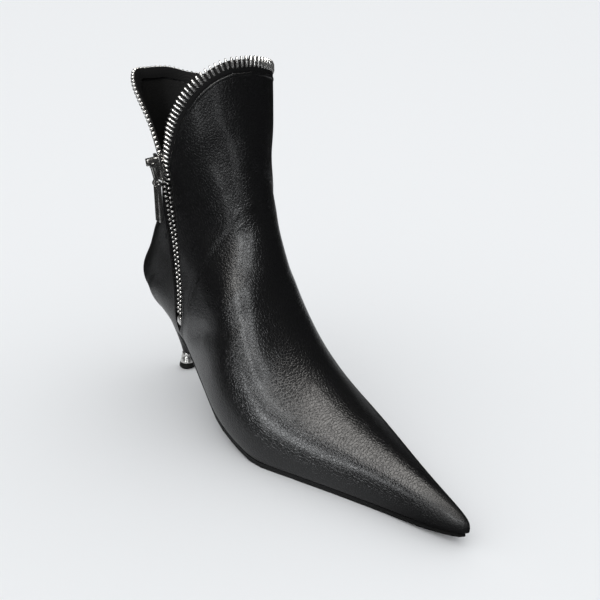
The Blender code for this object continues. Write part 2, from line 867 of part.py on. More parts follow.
def make_slider(seat):
    half = SLIDER_HEIGHT / 2
    top_low = -TAPE_DEPTH + TEETH_THICK / 2 + PLATE_CLEAR
    top_high = top_low + PLATE_THICK
    under_high = -TAPE_DEPTH - TEETH_THICK / 2 - PLATE_CLEAR
    under_low = under_high - PLATE_THICK
    plate = box(
        (SLIDER_WIDTH, PLATE_THICK, SLIDER_HEIGHT), (0.0, -(top_low + top_high) / 2, 0.0)
    )
    under = box(
        (SLIDER_WIDTH, PLATE_THICK, SLIDER_HEIGHT), (0.0, -(under_low + under_high) / 2, 0.0)
    )
    bite = PLATE_THICK / 2
    post_width, post_height = POST_SIZE
    post = box(
        (post_width, top_low - under_high + 2 * bite, post_height),
        (0.0, -(top_low + under_high) / 2, half - post_height / 2),
    )
    ears = []
    ear_top = PIN_N + EAR_HALF
    for side in (-1, 1):
        middle = side * (EAR_INNER + EAR_THICK / 2)
        foot = top_high - bite
        ears.append(
            box(
                (EAR_THICK, ear_top - foot, 2 * EAR_HALF),
                (middle, -(ear_top + foot) / 2, PIN_V),
            )
        )
    hole = rod(HOLE_RADIUS, -SLIDER_WIDTH, SLIDER_WIDTH, PIN_V, PIN_N)
    assemble("zip_slider", METAL, seat, plate, [under, post] + ears, [hole])


def make_link(pivot):
    """Built about its upper pin: the bar hangs along -Z."""
    bar = box((2 * LINK_HALF, LINK_THICK, LINK_LENGTH), (0.0, 0.0, -LINK_LENGTH / 2))
    joined = []
    for v in (0.0, -LINK_LENGTH):
        joined.append(rod(BARREL_RADIUS, -LINK_HALF, LINK_HALF, v, 0.0))
        joined.append(rod(PIN_RADIUS, -PIN_HALF, PIN_HALF, v, 0.0))
    assemble("pull_link", METAL, pivot, bar, joined, [])


def make_tab(pivot):
    """Built about the link's lower pin: a plate with two knuckles and a window."""
    plate_top = KNUCKLE_RADIUS
    height = TAB_LENGTH + plate_top
    plate = box((2 * TAB_HALF, TAB_THICK, height), (0.0, 0.0, plate_top - height / 2))
    knuckles = [
        rod(KNUCKLE_RADIUS, EAR_INNER, TAB_HALF, 0.0, 0.0),
        rod(KNUCKLE_RADIUS, -TAB_HALF, -EAR_INNER, 0.0, 0.0),
    ]
    notch_top = plate_top + TAB_THICK
    notch = box(
        (2 * EAR_INNER, 2 * TAB_THICK, notch_top + TAB_TOP),
        (0.0, 0.0, (notch_top - TAB_TOP) / 2),
    )
    window = box(
        (2 * WINDOW_HALF, 2 * TAB_THICK, WINDOW_TO - WINDOW_FROM),
        (0.0, 0.0, -(WINDOW_FROM + WINDOW_TO) / 2),
    )
    hole = rod(HOLE_RADIUS, -2 * TAB_HALF, 2 * TAB_HALF, 0.0, 0.0)
    assemble("pull_tab", METAL, pivot, plate, knuckles, [notch, window, hole])


def make_pull(last):
    seat = empty("zip_slider_seat", zip_frame(last, SLIDER_Z))
    make_slider(seat)
    upper_pin = empty("pull_link_pin", pin_frame(PIN_V, PIN_N, LINK_SLANT), seat)
    make_link(upper_pin)
    lower_pin = empty("pull_tab_pin", pin_frame(-LINK_LENGTH, 0.0, TAB_SLANT), upper_pin)
    make_tab(lower_pin)


def main():
    clear_scene()
    last = Last()
    stations = last.stations
    skin = Skin(last)
    make_upper(skin, stations)
    make_outsole(stations)
    make_insole(stations)
    make_heel(stations)
    make_heel_tip()
    make_zip_halves(skin)
    make_stop(last)
    make_pull(last)


main()
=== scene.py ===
"""Looks of the zip ankle boot: grained black leather, a silver zip and a slim covered heel.

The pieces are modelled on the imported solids, in the same frame: X to the toe, -Y to the outer side
and +Z up. Sizes are given in millimetres and turned into metres with MM.
"""

import json
import math
from collections import namedtuple

import bmesh
import bpy
import numpy as np
from mathutils import Matrix, Vector
from mathutils.bvhtree import BVHTree

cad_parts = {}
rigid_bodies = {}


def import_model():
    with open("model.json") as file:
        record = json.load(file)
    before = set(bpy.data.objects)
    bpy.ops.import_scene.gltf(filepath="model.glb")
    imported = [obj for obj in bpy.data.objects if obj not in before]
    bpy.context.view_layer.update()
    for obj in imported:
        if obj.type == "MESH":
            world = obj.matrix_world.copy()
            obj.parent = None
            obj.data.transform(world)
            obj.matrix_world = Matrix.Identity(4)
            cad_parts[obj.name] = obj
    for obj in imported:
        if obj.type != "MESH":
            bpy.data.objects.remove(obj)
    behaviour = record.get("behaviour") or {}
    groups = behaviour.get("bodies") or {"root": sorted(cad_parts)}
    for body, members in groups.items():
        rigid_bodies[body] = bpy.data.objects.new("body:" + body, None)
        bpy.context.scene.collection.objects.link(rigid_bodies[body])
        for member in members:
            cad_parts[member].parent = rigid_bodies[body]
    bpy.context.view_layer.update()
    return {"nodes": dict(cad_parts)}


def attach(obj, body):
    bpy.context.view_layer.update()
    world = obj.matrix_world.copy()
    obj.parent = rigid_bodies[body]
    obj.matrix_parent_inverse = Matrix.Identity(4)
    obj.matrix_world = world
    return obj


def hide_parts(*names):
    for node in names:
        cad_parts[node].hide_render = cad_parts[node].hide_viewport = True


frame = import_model()

MM = 0.001

# Camera at the photograph's angle
CAMERA_AZIMUTH = 51.51
CAMERA_ELEVATION = 22.0
CAMERA_DISTANCE = 500.0
CAMERA_TARGET = (-13.6, 17.7, 72.0)
CAMERA_LENS = 55.34
CAMERA_SENSOR = 36.0
CAMERA_CLIP = 10.0

# Points this close together are one, and faces within this angle of each other are flat
WELD_GAP = 0.002
SPIN_WELD_GAP = 0.005
FLAT_ANGLE = 2.0

# Edges sharper than this angle stay hard in the shading
HARD_SHADE = 35.0
HEEL_SHADE = 45.0
LEATHER_SHADE = 60.0
ROUND_SHADE = 80.0

# Rounded edges: width, segments, and the angle from which an edge is rounded
Rounding = namedtuple("Rounding", "width segments angle")
SOLE_ROUNDING = Rounding(0.22, 2, 35.0)
INSOLE_ROUNDING = Rounding(0.8, 3, 50.0)
TAPE_ROUNDING = Rounding(0.15, 2, 50.0)
STOP_ROUNDING = Rounding(0.3, 2, 40.0)
SLIDER_ROUNDING = Rounding(0.4, 2, 40.0)
LINK_ROUNDING = Rounding(0.35, 2, 40.0)
TAB_ROUNDING = Rounding(0.4, 2, 40.0)

# Colours of the pieces
LEATHER_BLACK = (0.0045, 0.0045, 0.005, 1.0)
LINING_BLACK = (0.003, 0.003, 0.003, 1.0)
TAPE_BLACK = (0.004, 0.004, 0.0045, 1.0)
RUBBER_BLACK = (0.005, 0.005, 0.005, 1.0)
SILVER = (0.8, 0.79, 0.77, 1.0)

# Roughness from the smooth to the dull places of a surface, and what the toe adds to the leather's
LEATHER_ROUGHNESS = (0.24, 0.36)
LINING_ROUGHNESS = (0.62, 0.8)
TAPE_ROUGHNESS = (0.65, 0.85)
RUBBER_ROUGHNESS_SPREAD = 0.08
TOE_DULLNESS = 0.2
TOE_RANGE = (96.0, 116.0)

# Fine relief of a surface: the strength of its shading, and its depth
Relief = namedtuple("Relief", "strength depth")
LEATHER_RELIEF = Relief(0.6, 0.08)
LINING_RELIEF = Relief(0.3, 0.1)
TAPE_RELIEF = Relief(0.5, 0.08)
METAL_RELIEF = Relief(0.12, 0.03)
RUBBER_RELIEF = Relief(0.25, 0.06)

# Skin grain: wide cells parted by cracks, with small pebbles in them
CELL_SCALE = 0.5
CELL_WOBBLE = 0.12
CRACK_RANGE = (0.03, 0.3)
CELL_HEIGHT = 1.6
PEBBLE_HEIGHT = 0.5

# Slanting wrinkles of the leather, and the ribs of the tape
WRINKLE_SCALE = 800.0
WRINKLE_STRETCH = 0.3
WRINKLE_SLANT = 42.0
TAPE_RIB_SCALE = 900.0
TAPE_RIB_TURN = (0.0, 35.0, 20.0)

# Leather: the rims of its wall, and the band of the shaft where its two skins are told apart
RIM_ANGLE = 61.0
RIM_CREASE = 0.75
BAND_LEVEL = 150.0
BAND_HALF = 8.0
SHAFT_X = -78.0

# Folded edge of the leather beside the tape: from the edge inward, and above the skin
FoldPoint = namedtuple("FoldPoint", "inward height")
FOLD_PROFILE = [
    FoldPoint(-0.2, -0.9),
    FoldPoint(-0.1, -0.2),
    FoldPoint(0.1, 0.04),
    FoldPoint(0.4, 0.1),
    FoldPoint(0.8, 0.11),
    FoldPoint(1.2, 0.07),
    FoldPoint(1.5, -0.02),
    FoldPoint(1.7, -0.3),
]

# Spacing of its rings, where the skin's slope is read, and how near the edge the skin is still sought
FOLD_STEP = 1.5
FOLD_MIDDLE = 0.9
FOLD_SAFE = 0.5

# The leather's edge, seen from the outer corner of the tape
EDGE_BEHIND = 0.3
EDGE_ABOVE = 0.9

# Creases and soft ridges of the outer skin: a path over it, the half width and the depth.
# A depth below nought is a ridge, and a path fades out at both ends.
Crease = namedtuple("Crease", "path half depth")
CREASES = [
    # Short folds under the ankle, and the hollow that they lie in
    Crease([(-62, -25, 46), (-50, -27.5, 50), (-38, -29.5, 54)], 1.7, 0.28),
    Crease([(-60, -25, 42.5), (-49, -28, 46.5), (-38, -30, 49)], 1.5, 0.22),
    Crease([(-50, -27.5, 56), (-38, -29, 58.5), (-26, -30, 61)], 1.9, 0.25),
    Crease([(-70, -24, 44), (-40, -29, 56), (-22, -30.5, 62), (-8, -27, 66)], 6.0, 1.1),
    # The swell over the ankle, and the rounded edge from the shaft down to the ball
    Crease([(-80, -24, 104), (-58, -23, 91), (-44, -24, 83), (-25, -26, 74), (-12, -25, 66)], 18.0, -1.8),
    Crease([(-22, -11, 98), (-14, -15, 80), (-8, -19, 66), (0, -22, 53), (8, -26, 40)], 8.0, -1.3),
    # The edge along the toe
    Crease([(58, -15, 21), (70, -12, 20), (84, -8, 18.5), (103, -4, 17), (120, 0, 14)], 4.0, -0.2),
    # The full counter, round the heel from the inner to the outer side
    Crease(
        [
            (-84, 29, 62),
            (-106, 25, 65),
            (-122, 14, 66),
            (-126, 2, 67),
            (-118, -12, 67),
            (-103, -21, 66),
            (-82, -24, 62),
        ],
        15.0,
        -5.0,
    ),
    # A slack place and a full one on the shaft
    Crease([(-66, -24, 124), (-45, -20, 112), (-24, -10, 104)], 9.0, 0.35),
    Crease([(-56, -22, 158), (-42, -17, 138), (-28, -4, 120)], 9.0, -0.35),
]
CREASE_FADE = 0.3

# Smoothing of the skin: plain rounds, then rounds that keep its size, and more of these at the ankle's bend
EASE_IN = 0.5
EASE_OUT = -0.505
SKIN_EASE_ROUNDS = 5
SKIN_TAUT_ROUNDS = 40
BEND_TAUT_ROUNDS = 200
BEND_MIDDLE = (-37.0, -15.0, 105.0)
BEND_REACH = 42.0

# Sole: its side faces lean less than the first limit and face sideways more than the second
SOLE_SIDE_LEAN = 0.4
SOLE_SIDE_FACING = 0.05
SOLE_SET_BACK = 0.5
SOLE_TIP_BACK = 2.2
SOLE_TIP_RANGE = (95.0, 127.0)
SOLE_GROOVE_MARGIN = 0.55
SOLE_GROOVE_DEPTH = 0.2

# Covered heel
HEEL_RIM_ANGLE = 50.0
HEEL_RIM_CREASE = 0.8

# Heel tip, turned on the stem's axis. Counts are in steps of the spin.
STEM_X = -109.785
STEM_Y = 2.817
SPIN_STEPS = 48
SLOT_STEPS = 3
SLOT_SPACING = 8
SLOT_LOW = 7.6
SLOT_HIGH = 8.5
SLOT_FACE_LEAN = 0.6
SLOT_MARGIN = 0.06
SLOT_TAPER = 0.02
SLOT_DEPTH = 0.6
TurnPoint = namedtuple("TurnPoint", "radius z")
LIFT_PROFILE = [
    TurnPoint(0.0, 0.0),
    TurnPoint(4.1, 0.0),
    TurnPoint(4.8, 0.25),
    TurnPoint(5.15, 0.8),
    TurnPoint(5.2, 1.4),
    TurnPoint(5.0, 2.4),
    TurnPoint(4.75, 3.3),
    TurnPoint(4.5, 3.4),
    TurnPoint(0.0, 3.4),
]
FERRULE_PROFILE = [
    TurnPoint(0.0, 3.7),
    TurnPoint(4.3, 3.7),
    TurnPoint(4.5, 3.9),
    TurnPoint(4.4, 4.6),
    TurnPoint(3.95, 6.0),
    TurnPoint(3.6, 7.4),
    TurnPoint(3.5, SLOT_LOW),
    TurnPoint(3.36, SLOT_HIGH),
    TurnPoint(3.3, 8.8),
    TurnPoint(3.15, 9.8),
    TurnPoint(2.95, 10.2),
    TurnPoint(2.6, 10.3),
    TurnPoint(0.0, 10.3),
]

# Zip: up to the slider both rows rise in the same steps, the rear row half a step higher
PITCH = 2.7
CHAIN_RISE = 2.66
CHAIN_TO_Z = 134.0
FIRST_TOOTH = 1.0
ROW_END = 0.5
FRONT_PHASE = 0.0
REAR_PHASE = 0.5
LEVEL_SEARCH = 10.0

# Teeth: a unit blank, the tooth's size, where its foot lies across the rail, from 0 on the leather's
# side to 1 on the far side, and its reach as a share of the way from there to the far side
TOOTH_BLANK = 1.0
TOOTH_WIDTH = 1.3
TOOTH_THICK = 2.5
TOOTH_ROUND = 0.24
CHAIN_FOOT = 0.48
FRONT_FOOT = -0.2
FRONT_REACH = 1.08
REAR_FOOT = 0.15
REAR_REACH = 0.85

# Tape: how far it goes under the teeth, behind them and into the leather
TAPE_STEP = 2.0
TAPE_UNDER = 3.2
TAPE_BEHIND = 1.1
TAPE_TUCK = 0.25

# Floor. Seen in reflections its colour is painted: painted shade, with patches of painted reflection
# that stand in for light. A patch: middle, half sizes, and the squared distances in half sizes at
# which it starts and is full.
FLOOR_SIZE = 24000.0
FLOOR_COLOUR = (0.86, 0.865, 0.87, 1.0)
FLOOR_ROUGHNESS = 0.9
# Painted shade of the floor in reflections, and the strength of its painted reflection patches
FLOOR_PAINTED_SHADE = (0.015, 0.015, 0.015, 1.0)
FLOOR_PAINTED_REFLECTION_LEVEL = 0.8
FloorPatch = namedtuple("FloorPatch", "x y half_x half_y start full")
PAINTED_REFLECTION_PATCHES = [
    FloorPatch(-70.0, -20.0, 165.0, 80.0, 1.25, 0.5),
    FloorPatch(170.0, 160.0, 50.0, 50.0, 2.56, 1.0),
    FloorPatch(-265.0, -160.0, 75.0, 45.0, 1.4, 0.5),
]
# Painted reflection patch on the floor's inner side, from its middle backward: across and along
BEHIND_FROM_Y = (40.0, 160.0)
BEHIND_TO_Y = (500.0, 300.0)
BEHIND_FROM_X = (0.0, -150.0)

# Studio light. Softboxes have angles in degrees and show in reflections alone.
STUDIO_COLOUR = (0.97, 0.985, 1.0, 1.0)
WORLD_STRENGTH = 1.05
WORLD_IN_MIRROR = 0.03
WARM = (1.0, 0.975, 0.94)
COOL = (0.965, 0.985, 1.0)
WIDE_SPREAD = 180.0
Softbox = namedtuple(
    "Softbox",
    "name azimuth elevation distance width height brightness colour target spread",
    defaults=[WIDE_SPREAD],
)
SOFTBOXES = [
    Softbox("vamp_box", -8.0, 70.0, 900.0, 300.0, 1250.0, 7.6, WARM, (0.0, 30.0, 26.0)),
    Softbox("strip_low", -1.0, 8.0, 300.0, 50.0, 80.0, 0.75, COOL, (20.0, -26.0, 22.0), 36.0),
    Softbox("strip_middle", 18.0, 31.0, 900.0, 180.0, 220.0, 12.5, COOL, (8.0, -26.0, 45.0)),
    Softbox("strip_high", 44.0, 38.0, 900.0, 330.0, 160.0, 7.5, COOL, (-5.0, -20.0, 60.0)),
    Softbox("strip_end", 62.0, 35.0, 900.0, 200.0, 160.0, 7.5, COOL, (-15.0, -14.0, 85.0)),
    Softbox("bend_card", 24.0, 9.0, 600.0, 80.0, 190.0, 5.0, COOL, (-36.0, -13.0, 107.0)),
    Softbox("shaft_card", 18.0, -11.0, 600.0, 100.0, 90.0, 4.0, COOL, (-42.0, -16.0, 146.0)),
    Softbox("lapel_card", 52.0, -9.0, 600.0, 140.0, 80.0, 3.0, COOL, (-38.0, -13.0, 165.0)),
]


def only(piece):
    """Selects one object alone and makes it the active one."""
    bpy.ops.object.select_all(action="DESELECT")
    piece.select_set(True)
    bpy.context.view_layer.objects.active = piece


def edit(piece, mode="FACE"):
    """Opens a piece for editing, with nothing selected."""
    only(piece)
    bpy.ops.object.mode_set(mode="EDIT")
    bpy.ops.mesh.select_mode(type=mode)
    bpy.ops.mesh.select_all(action="DESELECT")
    return bmesh.from_edit_mesh(piece.data)


def close_edit(piece):
    bmesh.update_edit_mesh(piece.data)
    bpy.ops.object.mode_set(mode="OBJECT")


def welded_copy(node, name):
    """A copy of a solid's mesh, its loose triangles joined into quads."""
    piece = bpy.data.objects.new(name, frame["nodes"][node].data.copy())
    bpy.context.scene.collection.objects.link(piece)
    piece.data.materials.clear()
    only(piece)
    bpy.ops.mesh.customdata_custom_splitnormals_clear()
    bpy.ops.object.mode_set(mode="EDIT")
    bpy.ops.mesh.select_all(action="SELECT")
    bpy.ops.mesh.remove_doubles(threshold=WELD_GAP * MM)
    bpy.ops.mesh.tris_convert_to_quads()
    bpy.ops.object.mode_set(mode="OBJECT")
    return piece


def apply_modifier(piece, kind, **values):
    only(piece)
    modifier = piece.modifiers.new(kind.lower(), kind)
    for key, value in values.items():
        setattr(modifier, key, value)
    bpy.ops.object.modifier_apply(modifier=modifier.name)


def subdivide_smooth(piece, levels):
    apply_modifier(piece, "SUBSURF", levels=levels, render_levels=levels)


def round_edges(piece, rounding):
    apply_modifier(
        piece,
        "BEVEL",
        width=rounding.width * MM,
        segments=rounding.segments,
        limit_method="ANGLE",
        angle_limit=math.radians(rounding.angle),
    )


def shade(piece, angle=HARD_SHADE):
    only(piece)
    bpy.ops.object.shade_smooth_by_angle(angle=math.radians(angle))


def dress(piece, finish, body, slot, *nodes):
    """Gives a piece its finish and its body, and hides the solids that it stands for. The slot is not used.
    """
    if finish is not None:
        piece.data.materials.append(finish)
    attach(piece, body)
    if nodes:
        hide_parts(*nodes)


def ease(value, low, high):
    """0 below low, 1 above high, and a soft step between."""
    share = np.clip((value - low) / (high - low), 0.0, 1.0)
    return share * share * (3.0 - 2.0 * share)


# Shader helpers


def node_group(name, inputs, outputs):
    """An empty shader node group with named value sockets, and its two end nodes."""
    group = bpy.data.node_groups.new(name, "ShaderNodeTree")
    for label, kind, value in inputs:
        socket = group.interface.new_socket(label, in_out="INPUT", socket_type=kind)
        socket.default_value = value
    for label, kind in outputs:
        group.interface.new_socket(label, in_out="OUTPUT", socket_type=kind)
    start = group.nodes.new("NodeGroupInput")
    end = group.nodes.new("NodeGroupOutput")
    return group, start, end


def math_node(tree, operation, first, second):
    made = tree.nodes.new("ShaderNodeMath")
    made.operation = operation
    for socket, value in zip(made.inputs, (first, second)):
        if isinstance(value, (int, float)):
            socket.default_value = value
        else:
            tree.links.new(value, socket)
    return made.outputs[0]


def remap(tree, value, low, high):
    """A 0 to 1 value spread between two numbers."""
    made = tree.nodes.new("ShaderNodeMapRange")
    tree.links.new(value, made.inputs["Value"])
    made.inputs["To Min"].default_value = low
    made.inputs["To Max"].default_value = high
    return made.outputs["Result"]


def soft_step(tree, value, low, high):
    """0 at low and 1 at high, with a soft step between."""
    made = tree.nodes.new("ShaderNodeMapRange")
    made.interpolation_type = "SMOOTHSTEP"
    tree.links.new(value, made.inputs["Value"])
    made.inputs["From Min"].default_value = min(low, high)
    made.inputs["From Max"].default_value = max(low, high)
    made.inputs["To Min"].default_value = 0.0 if low < high else 1.0
    made.inputs["To Max"].default_value = 1.0 if low < high else 0.0
    return made.outputs["Result"]


def soft_place(tree, value, low, high):
    """A soft step between two places in millimetres."""
    return soft_step(tree, value, low * MM, high * MM)


def object_coordinates(tree, scale=(1.0, 1.0, 1.0), turn=(0.0, 0.0, 0.0)):
    coordinates = tree.nodes.new("ShaderNodeTexCoord")
    mapping = tree.nodes.new("ShaderNodeMapping")
    mapping.inputs["Scale"].default_value = scale
    mapping.inputs["Rotation"].default_value = [math.radians(a) for a in turn]
    tree.links.new(coordinates.outputs["Object"], mapping.inputs["Vector"])
    return mapping.outputs["Vector"]


def new_material(name, colour):
    made = bpy.data.materials.new(name)
    made.use_nodes = True
    shader = made.node_tree.nodes["Principled BSDF"]
    shader.inputs["Base Color"].default_value = colour
    return made, made.node_tree, shader


def bump(tree, shader, height, relief):
    made = tree.nodes.new("ShaderNodeBump")
    made.inputs["Strength"].default_value = relief.strength
    made.inputs["Distance"].default_value = relief.depth * MM
    tree.links.new(height, made.inputs["Height"])
    tree.links.new(made.outputs["Normal"], shader.inputs["Normal"])


def make_grain_group():
    """Skin grain: cells parted by fine cracks, with smaller pebbles inside, and a mask of the cracks."""
    group, start, end = node_group(
        "skin_grain",
        [("Vector", "NodeSocketVector", (0.0, 0.0, 0.0)), ("Pebble Scale", "NodeSocketFloat", 900.0)],
        [("Height", "NodeSocketFloat"), ("Valley", "NodeSocketFloat")],
    )
    noise = group.nodes.new("ShaderNodeTexNoise")
    noise.inputs["Detail"].default_value = 1.0
    cells = group.nodes.new("ShaderNodeTexVoronoi")
    cells.feature = "DISTANCE_TO_EDGE"
    pebbles = group.nodes.new("ShaderNodeTexVoronoi")
    for texture in (noise, cells, pebbles):
        group.links.new(start.outputs["Vector"], texture.inputs["Vector"])
    group.links.new(start.outputs["Pebble Scale"], noise.inputs["Scale"])
    group.links.new(start.outputs["Pebble Scale"], pebbles.inputs["Scale"])
    wide = math_node(group, "MULTIPLY", start.outputs["Pebble Scale"], CELL_SCALE)
    group.links.new(wide, cells.inputs["Scale"])
    wobble = math_node(group, "MULTIPLY", noise.outputs["Fac"], CELL_WOBBLE)
    apart = math_node(group, "ADD", cells.outputs["Distance"], wobble)
    plateau = soft_step(group, apart, *CRACK_RANGE)
    valley = math_node(group, "SUBTRACT", 1.0, plateau)
    small = math_node(group, "SUBTRACT", noise.outputs["Fac"], pebbles.outputs["Distance"])
    fine = math_node(group, "MULTIPLY", small, PEBBLE_HEIGHT)
    raised = math_node(group, "MULTIPLY", plateau, CELL_HEIGHT)
    height = math_node(group, "ADD", fine, raised)
    group.links.new(height, end.inputs["Height"])
    group.links.new(valley, end.inputs["Valley"])
    return group


def make_patina_group():
    """Slow, cloudy change over a surface, for its roughness and its handling marks."""
    group, start, end = node_group(
        "patina",
        [("Vector", "NodeSocketVector", (0.0, 0.0, 0.0)), ("Cloud Scale", "NodeSocketFloat", 40.0)],
        [("Cloud", "NodeSocketFloat")],
    )
    noise = group.nodes.new("ShaderNodeTexNoise")
    noise.inputs["Detail"].default_value = 6.0
    noise.inputs["Roughness"].default_value = 0.6
    group.links.new(start.outputs["Vector"], noise.inputs["Vector"])
    group.links.new(start.outputs["Cloud Scale"], noise.inputs["Scale"])
    group.links.new(noise.outputs["Fac"], end.inputs["Cloud"])
    return group


GRAIN = make_grain_group()
PATINA = make_patina_group()


def use_group(tree, group, vector, **values):
    made = tree.nodes.new("ShaderNodeGroup")
    made.node_tree = group
    tree.links.new(vector, made.inputs["Vector"])
    for key, value in values.items():
        made.inputs[key.replace("_", " ").title()].default_value = value
    return made


def black_leather(name, grain_scale, wrinkle_strength):
    """Smooth grained leather with a half gloss finish and fine slanting wrinkles, duller at the toe."""
    made, tree, shader = new_material(name, LEATHER_BLACK)
    shader.inputs["Specular IOR Level"].default_value = 0.5
    shader.inputs["Coat Weight"].default_value = 0.12
    shader.inputs["Coat Roughness"].default_value = 0.16
    place = object_coordinates(tree)
    grain = use_group(tree, GRAIN, place, pebble_scale=grain_scale)
    cloud = use_group(tree, PATINA, place, cloud_scale=60.0)
    rough = remap(tree, cloud.outputs["Cloud"], *LEATHER_ROUGHNESS)
    split = tree.nodes.new("ShaderNodeSeparateXYZ")
    tree.links.new(place, split.inputs["Vector"])
    toe = soft_place(tree, split.outputs["X"], *TOE_RANGE)
    dull = math_node(tree, "MULTIPLY", toe, TOE_DULLNESS)
    tree.links.new(math_node(tree, "ADD", rough, dull), shader.inputs["Roughness"])
    slant = object_coordinates(tree, scale=(1.0, 1.0, WRINKLE_STRETCH), turn=(0.0, WRINKLE_SLANT, 0.0))
    wrinkles = tree.nodes.new("ShaderNodeTexNoise")
    wrinkles.inputs["Scale"].default_value = WRINKLE_SCALE
    wrinkles.inputs["Detail"].default_value = 2.0
    wrinkles.inputs["Distortion"].default_value = 0.3
    tree.links.new(slant, wrinkles.inputs["Vector"])
    lines = math_node(tree, "MULTIPLY", wrinkles.outputs["Fac"], wrinkle_strength)
    height = math_node(tree, "ADD", grain.outputs["Height"], lines)
    bump(tree, shader, height, LEATHER_RELIEF)
    return made


def lining_leather():
    """Matt black lining with a faint pigskin grain."""
    made, tree, shader = new_material("lining", LINING_BLACK)
    shader.inputs["Specular IOR Level"].default_value = 0.2
    place = object_coordinates(tree)
    grain = use_group(tree, GRAIN, place, pebble_scale=1400.0)
    rough = remap(tree, grain.outputs["Valley"], *LINING_ROUGHNESS)
    tree.links.new(rough, shader.inputs["Roughness"])
    bump(tree, shader, grain.outputs["Height"], LINING_RELIEF)
    return made


def woven_tape():
    """Black zip tape with woven ribs."""
    made, tree, shader = new_material("woven_tape", TAPE_BLACK)
    shader.inputs["Specular IOR Level"].default_value = 0.2
    place = object_coordinates(tree, turn=TAPE_RIB_TURN)
    weave = tree.nodes.new("ShaderNodeTexWave")
    weave.inputs["Scale"].default_value = TAPE_RIB_SCALE
    weave.inputs["Distortion"].default_value = 0.6
    tree.links.new(place, weave.inputs["Vector"])
    rough = remap(tree, weave.outputs["Fac"], *TAPE_ROUGHNESS)
    tree.links.new(rough, shader.inputs["Roughness"])
    bump(tree, shader, weave.outputs["Fac"], TAPE_RELIEF)
    return made


def silver_metal(name, smooth, dull, metallic):
    """Polished silver metal with fine handling marks."""
    made, tree, shader = new_material(name, SILVER)
    shader.inputs["Metallic"].default_value = metallic
    place = object_coordinates(tree)
    cloud = use_group(tree, PATINA, place, cloud_scale=700.0)
    rough = remap(tree, cloud.outputs["Cloud"], smooth, dull)
    tree.links.new(rough, shader.inputs["Roughness"])
    bump(tree, shader, cloud.outputs["Cloud"], METAL_RELIEF)
    return made


def sole_rubber(name, roughness):
    """Satin black rubber with a fine moulded grain."""
    made, tree, shader = new_material(name, RUBBER_BLACK)
    shader.inputs["Specular IOR Level"].default_value = 0.22
    place = object_coordinates(tree)
    grain = use_group(tree, GRAIN, place, pebble_scale=1100.0)
    spread = RUBBER_ROUGHNESS_SPREAD
    rough = remap(tree, grain.outputs["Valley"], roughness - spread, roughness + spread)
    tree.links.new(rough, shader.inputs["Roughness"])
    bump(tree, shader, grain.outputs["Height"], RUBBER_RELIEF)
    return made


UPPER_LEATHER = black_leather("upper_leather", grain_scale=1250.0, wrinkle_strength=0.7)
HEEL_LEATHER = black_leather("heel_leather", grain_scale=1200.0, wrinkle_strength=0.3)
LINING = lining_leather()
TAPE = woven_tape()
TOOTH_SILVER = silver_metal("tooth_silver", smooth=0.12, dull=0.24, metallic=0.9)
BRIGHT_SILVER = silver_metal("bright_silver", smooth=0.1, dull=0.22, metallic=0.985)
SATIN_SILVER = silver_metal("satin_silver", smooth=0.18, dull=0.3, metallic=0.9)
SOLE = sole_rubber("sole_black", roughness=0.5)
LIFT_RUBBER = sole_rubber("lift_rubber", roughness=0.6)

LEATHER_SLOT, EDGE_SLOT, LINING_SLOT = range(3)


# Leather upper


def select_region(piece, bm, seed):
    """Selects the faces joined to a seed face, as far as the marked seams."""
    bpy.ops.mesh.select_mode(type="FACE")
    bpy.ops.mesh.select_all(action="DESELECT")
    seed.select = True
    bm.faces.active = seed
    bmesh.update_edit_mesh(piece.data)
    bpy.ops.mesh.select_linked(delimit={"SEAM"})


def shaft_front(bm):
    """The faces at the front of a level band of the shaft, where skin and lining are easy to tell apart."""
    faces = []
    for face in bm.faces:
        middle = face.calc_center_median() / MM
        if abs(middle.z - BAND_LEVEL) < BAND_HALF and middle.x > SHAFT_X:
            faces.append(face)
    return faces


def mark_skins(piece):
    """Sets the outer skin, the cut edge and the lining apart at the upper's sharp rims."""
    for finish in (UPPER_LEATHER, UPPER_LEATHER, LINING):
        piece.data.materials.append(finish)
    edit(piece, "EDGE")
    bpy.ops.mesh.edges_select_sharp(sharpness=math.radians(RIM_ANGLE))
    bpy.ops.mesh.mark_seam()
    bpy.ops.transform.edge_crease(value=RIM_CREASE)
    bpy.ops.mesh.select_all(action="SELECT")
    piece.active_material_index = EDGE_SLOT
    bpy.ops.object.material_slot_assign()
    for slot, outward in ((LEATHER_SLOT, 1.0), (LINING_SLOT, -1.0)):
        bm = bmesh.from_edit_mesh(piece.data)
        seed = max(shaft_front(bm), key=lambda face: outward * face.normal.x)
        select_region(piece, bm, seed)
        piece.active_material_index = slot
        bpy.ops.object.material_slot_assign()
    close_edit(piece)


def distance_to_path(points, path):
    """Each point's distance to a line of straight pieces, and how far along the line that is."""
    nearest = np.full(len(points), np.inf)
    along = np.zeros(len(points))
    corners = np.array(path, float)
    pieces = len(corners) - 1
    for k in range(pieces):
        run = corners[k + 1] - corners[k]
        share = np.clip((points - corners[k]) @ run / (run @ run), 0.0, 1.0)
        away = np.linalg.norm(points - corners[k] - share[:, None] * run, axis=1)
        along = np.where(away < nearest, (k + share) / pieces, along)
        nearest = np.minimum(nearest, away)
    return nearest, along


def skin_points(piece):
    """Which points belong to the outer skin."""
    outer = np.zeros(len(piece.data.vertices), bool)
    for face in piece.data.polygons:
        if face.material_index == LEATHER_SLOT:
            outer[list(face.vertices)] = True
    return outer


